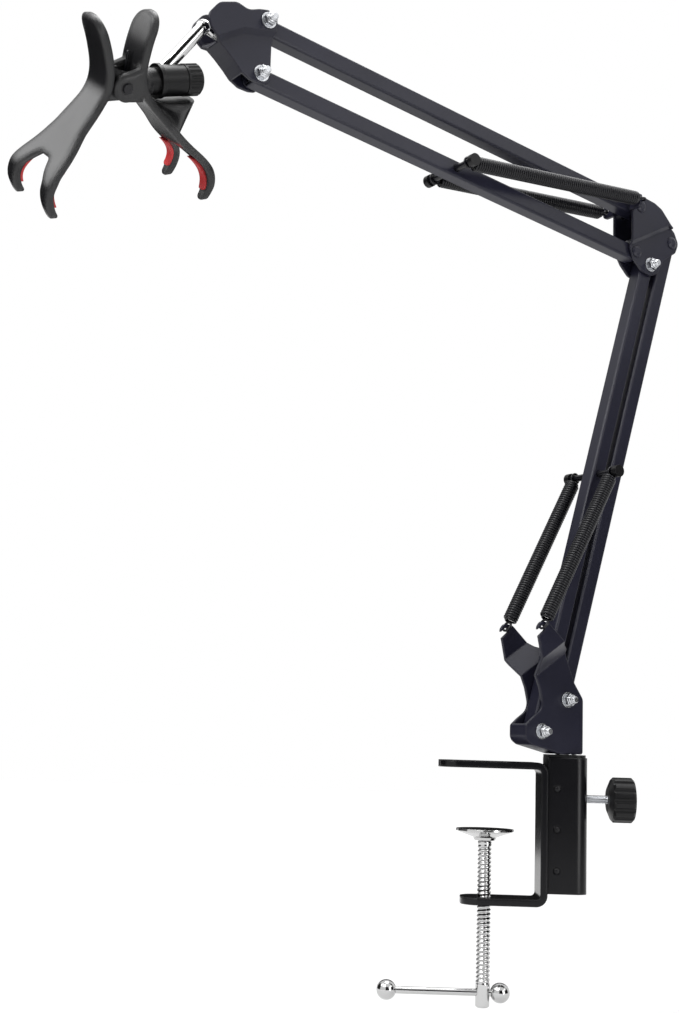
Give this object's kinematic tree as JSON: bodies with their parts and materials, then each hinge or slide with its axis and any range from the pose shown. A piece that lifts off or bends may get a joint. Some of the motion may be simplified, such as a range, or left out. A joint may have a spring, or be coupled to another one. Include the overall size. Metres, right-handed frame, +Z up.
{
  "type": "articulating arm phone stand",
  "caption": "Table-clamped phone stand with a swivelling two-stage spring-balanced parallel-link arm and a sprung claw clip on a bent rod.",
  "frame": {"origin": "underside of the clamp's top jaw, on the clamp screw's axis", "axes": "+Z up along the screw, +X from the screw to the swivel post, -Y the near side"},
  "size_m": [0.4811, 0.3178, 0.6589],
  "materials": {
    "arm_paint": "satin black paint",
    "clamp_paint": "gloss black paint",
    "chrome": "bright plated",
    "zinc": "bright zinc",
    "spring_steel": "black oiled",
    "black_plastic": "moulded",
    "clip_plastic": "moulded",
    "red_rubber": "moulded",
    "nylon": "moulded"
  },
  "bodies": {
    "clamp": {"clamp_bracket": "clamp_paint", "sleeve_shell": "clamp_paint", "post_liner": "nylon", "sleeve_rivets": "clamp_paint"},
    "clamp_foot": {"foot_cup": "chrome"},
    "clamp_spindle": {"clamp_screw": "chrome"},
    "tommy": {"tommy_bar": "chrome", "tommy_bar_balls": "chrome"},
    "post_lock": {"lock_screw": "zinc", "lock_knob": "black_plastic"},
    "base": {"swivel_post": "zinc", "base_bracket": "arm_paint", "base_bolts": "zinc", "base_nuts": "zinc", "base_washers": "zinc"},
    "lower_front_bar": {"lower_front_tube": "arm_paint", "lower_spring_pin": "zinc", "lower_pin_caps": "black_plastic", "lower_spring_near": "spring_steel", "lower_spring_far": "spring_steel"},
    "lower_rear_bar": {"lower_rear_tube": "arm_paint"},
    "elbow": {"elbow_bracket": "arm_paint", "elbow_bolts": "zinc", "elbow_nuts": "zinc", "elbow_washers": "zinc", "elbow_spacers": "zinc", "elbow_rivets": "arm_paint"},
    "upper_bottom_bar": {"upper_bottom_tube": "arm_paint", "upper_spring_pin": "zinc", "upper_pin_caps": "black_plastic", "upper_spring_near": "spring_steel", "upper_spring_far": "spring_steel"},
    "upper_top_bar": {"upper_top_tube": "arm_paint"},
    "head": {"head_bracket": "arm_paint", "head_bolts": "zinc", "head_nuts": "zinc", "head_washers": "zinc", "head_spacers": "zinc", "rod_nuts": "zinc"},
    "rod": {"swivel_rod": "chrome"},
    "barrel": {"pivot_barrel": "black_plastic"},
    "collar": {"lock_collar": "black_plastic"},
    "clip": {"fixed_jaw": "clip_plastic", "hinge_pin": "spring_steel", "torsion_spring": "spring_steel", "fixed_jaw_pads": "red_rubber"},
    "clip_jaw": {"moving_jaw": "clip_plastic", "moving_jaw_pads": "red_rubber"}
  },
  "joints": [
    {"name": "screw_turn", "type": "hinge", "parent": "clamp_foot", "child": "clamp_spindle", "pos_m": [0, 0, -0.1], "axis": [0, 0, 1], "range_deg": [-4320, 4860]},
    {"name": "screw_advance", "type": "slide", "parent": "clamp", "child": "clamp_foot", "axis": [0, 0, 1], "range_m": [-0.0361, 0.0406]},
    {"name": "tommy_bar_slide", "type": "slide", "parent": "clamp_spindle", "child": "tommy", "axis": [1, 0, 0], "range_m": [0, 0.0554]},
    {"name": "lock_screw_turn", "type": "hinge", "parent": "clamp", "child": "post_lock", "pos_m": [0.0775, 0, -0.02], "axis": [1, 0, 0], "continuous": true},
    {"name": "base_swivel", "type": "hinge", "parent": "clamp", "child": "base", "pos_m": [0.0575, 0, 0], "axis": [0, 0, 1], "continuous": true},
    {"name": "lower_arm_tilt", "type": "hinge", "parent": "base", "child": "lower_front_bar", "pos_m": [0.03165, -0.01711, 0.027], "axis": [-0.5519, 0.8339, 0], "range_deg": [-46, 5], "deforming": ["lower_spring_near", "lower_spring_far"]},
    {"name": "lower_rear_tilt", "type": "hinge", "parent": "base", "child": "lower_rear_bar", "pos_m": [0.05166, -0.00386, 0.05], "axis": [-0.5519, 0.8339, 0], "range_deg": [-46, 5]},
    {"name": "elbow_level", "type": "hinge", "parent": "lower_front_bar", "child": "elbow", "pos_m": [0.12112, 0.04211, 0.39154], "axis": [-0.5519, 0.8339, 0], "range_deg": [-5, 46]},
    {"name": "upper_arm_tilt", "type": "hinge", "parent": "elbow", "child": "upper_bottom_bar", "pos_m": [0.10919, 0.03421, 0.39954], "axis": [-0.5519, 0.8339, 0], "range_deg": [-42, 33], "deforming": ["upper_spring_near", "upper_spring_far"]},
    {"name": "upper_top_tilt", "type": "hinge", "parent": "elbow", "child": "upper_top_bar", "pos_m": [0.11086, 0.03532, 0.43604], "axis": [-0.5519, 0.8339, 0], "range_deg": [-42, 33]},
    {"name": "head_level", "type": "hinge", "parent": "upper_bottom_bar", "child": "head", "pos_m": [-0.1768, -0.15508, 0.44896], "axis": [-0.5519, 0.8339, 0], "range_deg": [-33, 42]},
    {"name": "rod_swivel", "type": "hinge", "parent": "head", "child": "rod", "pos_m": [-0.21015, -0.17715, 0.47316], "axis": [0.7836, 0.5187, -0.342], "range_deg": [-28, 28]},
    {"name": "barrel_turn", "type": "hinge", "parent": "rod", "child": "barrel", "pos_m": [-0.23861, -0.19599, 0.42602], "axis": [0.489, 0.3236, 0.81], "range_deg": [-45, 45]},
    {"name": "collar_turn", "type": "hinge", "parent": "barrel", "child": "collar", "pos_m": [-0.25849, -0.20915, 0.4185], "axis": [0.7953, 0.5264, 0.3007], "continuous": true},
    {"name": "clip_tilt", "type": "hinge", "parent": "barrel", "child": "clip", "pos_m": [-0.25849, -0.20915, 0.4185], "axis": [0.7953, 0.5264, 0.3007], "range_deg": [-45, 45]},
    {"name": "jaw_open", "type": "hinge", "parent": "clip", "child": "clip_jaw", "pos_m": [-0.25849, -0.20915, 0.4185], "axis": [-0.5924, 0.5694, 0.57], "range_deg": [-34, 20], "deforming": ["torsion_spring"]}
  ],
  "couplings": [
    {"joint": "screw_advance", "follows": "screw_turn", "m_per_rad": 0.00047746},
    {"joint": "lower_rear_tilt", "follows": "lower_arm_tilt", "ratio": 1},
    {"joint": "elbow_level", "follows": "lower_arm_tilt", "ratio": -1},
    {"joint": "upper_top_tilt", "follows": "upper_arm_tilt", "ratio": 1},
    {"joint": "head_level", "follows": "upper_arm_tilt", "ratio": -1}
  ]
}
